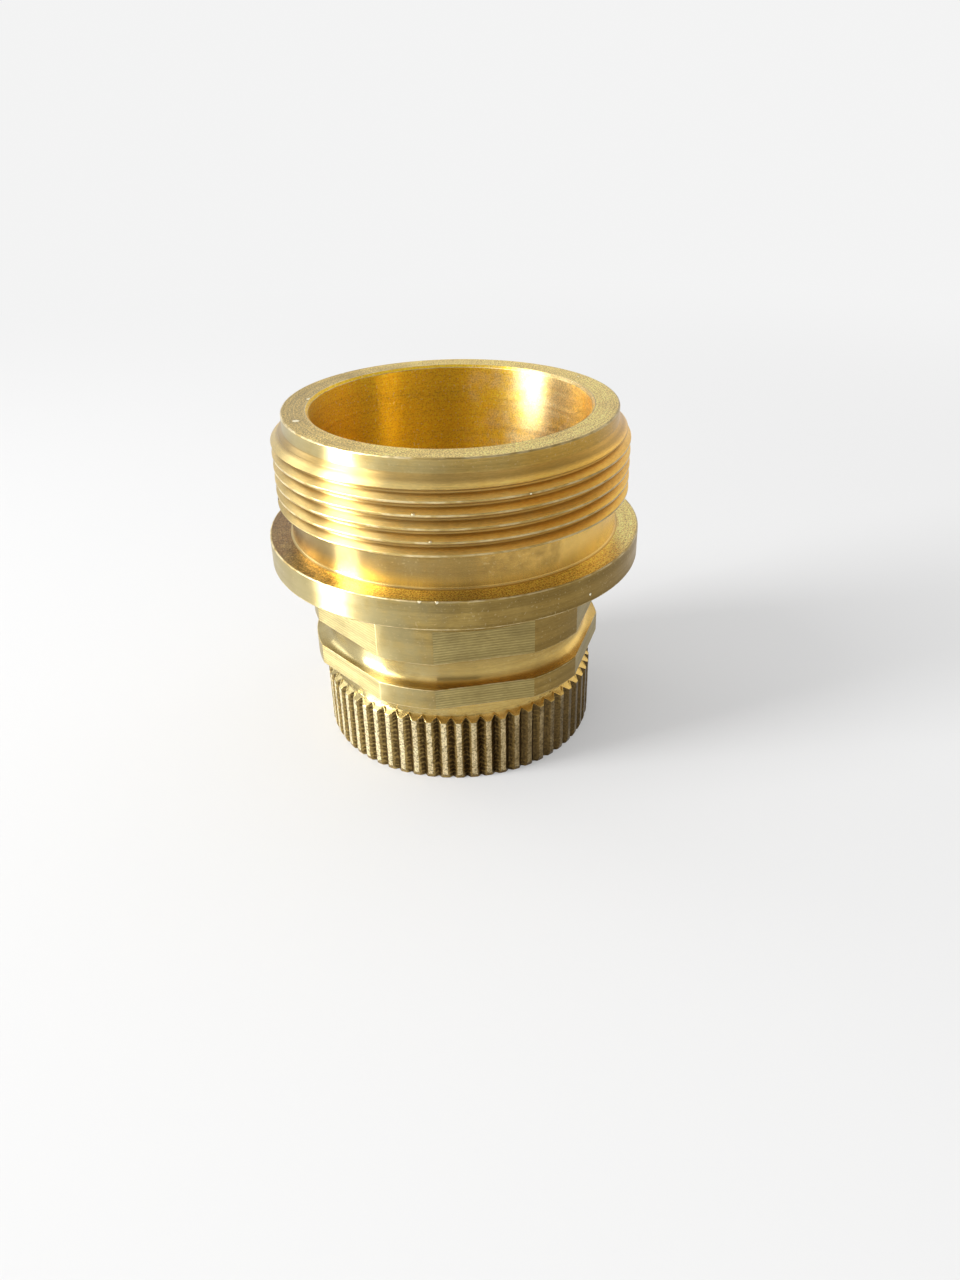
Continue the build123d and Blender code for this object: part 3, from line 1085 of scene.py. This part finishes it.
def make_floor(studio):
    """A wide pale floor."""
    mesh = bpy.data.meshes.new("studio_floor")
    corners = [(x * FLOOR_HALF, y * FLOOR_HALF, 0) for x, y in ((-1, -1), (1, -1), (1, 1), (-1, 1))]
    mesh.from_pydata(corners, [], [(0, 1, 2, 3)])
    floor = bpy.data.objects.new("studio_floor", mesh)
    bpy.context.scene.collection.objects.link(floor)
    material = bpy.data.materials.new("Studio floor")
    material.use_nodes = True
    nodes = Nodes(material.node_tree)
    shader = material.node_tree.nodes["Principled BSDF"]
    nodes.fill(shader, {"Base Color": (*studio.floor_colour, 1), "Roughness": 0.9, "Specular IOR Level": 0.1})
    # Far from the insert the floor goes over into the even paleness of the horizon
    away = nodes.vector("LENGTH", {0: nodes.add("ShaderNodeTexCoord").outputs["Object"]})["Value"]
    far = nodes.spread(away, 0.05, 0.5, 0.35, 1.0)
    ray = nodes.add("ShaderNodeLightPath").outputs
    mirrored = nodes.math("MAXIMUM", ray["Is Glossy Ray"], ray["Is Transmission Ray"])
    seen = nodes.math("MAXIMUM", ray["Is Camera Ray"], mirrored)
    glow = nodes.add("ShaderNodeEmission", {"Color": (PALE, PALE, PALE, 1.0), "Strength": 1.0}).outputs[0]
    parts = {0: nodes.times(far, seen), 1: shader.outputs[0], 2: glow}
    blend = nodes.add("ShaderNodeMixShader", parts)
    nodes.feed(material.node_tree.nodes["Material Output"].inputs["Surface"], blend.outputs[0])
    mesh.materials.append(material)


def make_world():
    """A studio that is pale at the horizon, with a bright side, a dim side and a soft ceiling."""
    world = bpy.data.worlds.new("Studio")
    bpy.context.scene.world = world
    world.use_nodes = True
    nodes = Nodes(world.node_tree)
    background = world.node_tree.nodes["Background"]
    direction = nodes.add("ShaderNodeTexCoord").outputs["Generated"]
    x, y, height = nodes.add("ShaderNodeSeparateXYZ", {"Vector": direction}).outputs
    turn = nodes.math("FRACT", nodes.math("DIVIDE", nodes.math("ARCTAN2", y, x), FULL_TURN))
    walls = nodes.add("ShaderNodeValToRGB", {"Fac": turn})
    ramp = walls.color_ramp
    for number, (degrees, level) in enumerate(WALLS):
        place = degrees / 360
        stop = ramp.elements[number] if number < 2 else ramp.elements.new(place)
        stop.position = place
        stop.color = (level, level, level, 1)
    grey = (CEILING, CEILING, CEILING, 1)
    ceiling = nodes.mix(nodes.spread(height, 0.65, 0.92), walls.outputs["Color"], grey)
    studio = nodes.mix(nodes.spread(height, 0.06, 0.3), (PALE, PALE, PALE, 1), ceiling)
    nodes.feed(background.inputs["Color"], studio)
    background.inputs["Strength"].default_value = 1.0


def place_camera(studio):
    """The camera, looking down on the threaded end."""
    data = bpy.data.cameras.new("Camera")
    data.sensor_fit = "AUTO"
    data.sensor_width = 36.0
    data.lens = studio.lens
    data.clip_start = 0.01
    camera = bpy.data.objects.new("Camera", data)
    camera.location = CAMERA_PLACE
    camera.rotation_euler = tuple(math.radians(degrees) for degrees in CAMERA_TURN)
    bpy.context.scene.collection.objects.link(camera)
    bpy.context.scene.camera = camera


# ---------------------------------------------------------------- operators and panel


class INSERT_OT_turning(Operator):
    """Build the turned insert and its machined finishes in place of the plain solid"""

    bl_idname = "insert.turning"
    bl_label = "Turned Insert"

    def execute(self, context):
        sizes = context.scene.insert_sizes
        piece = build_turning(sizes).build(PIECE)
        for material in make_finishes(context.scene.insert_finishes, sizes):
            piece.data.materials.append(material)
        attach(piece, "root")
        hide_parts(NODE)
        return {"FINISHED"}


class INSERT_OT_studio(Operator):
    """Set up the floor, the lamps, the world and the camera"""

    bl_idname = "insert.studio"
    bl_label = "Studio"

    def execute(self, context):
        studio = context.scene.insert_studio
        make_floor(studio)
        make_world()
        for name, place, width, height, setting in LAMPS:
            add_lamp(name, place, width, height, getattr(studio, setting))
        place_camera(studio)
        context.scene.view_settings.view_transform = "Standard"
        return {"FINISHED"}


class INSERT_PT_panel(Panel):
    """The insert's operators and settings"""

    bl_label = "Pipe Insert"
    bl_idname = "INSERT_PT_panel"
    bl_space_type = "VIEW_3D"
    bl_region_type = "UI"
    bl_category = "Pipe Insert"

    def draw(self, context):
        layout = self.layout
        for operator in (INSERT_OT_turning, INSERT_OT_studio):
            layout.operator(operator.bl_idname)
        for settings in ("insert_sizes", "insert_finishes", "insert_studio"):
            box = layout.box()
            group = getattr(context.scene, settings)
            for name in group.__annotations__:
                box.prop(group, name)


SETTINGS = {"insert_sizes": InsertSizes, "insert_finishes": InsertFinishes, "insert_studio": StudioSettings}
CLASSES = (*SETTINGS.values(), INSERT_OT_turning, INSERT_OT_studio, INSERT_PT_panel)


def register():
    for cls in CLASSES:
        bpy.utils.register_class(cls)
    for name, group in SETTINGS.items():
        setattr(bpy.types.Scene, name, PointerProperty(type=group))


def unregister():
    for name in SETTINGS:
        delattr(bpy.types.Scene, name)
    for cls in reversed(CLASSES):
        bpy.utils.unregister_class(cls)


def main():
    register()
    bpy.ops.insert.turning()
    bpy.ops.insert.studio()


if __name__ == "__main__":
    main()
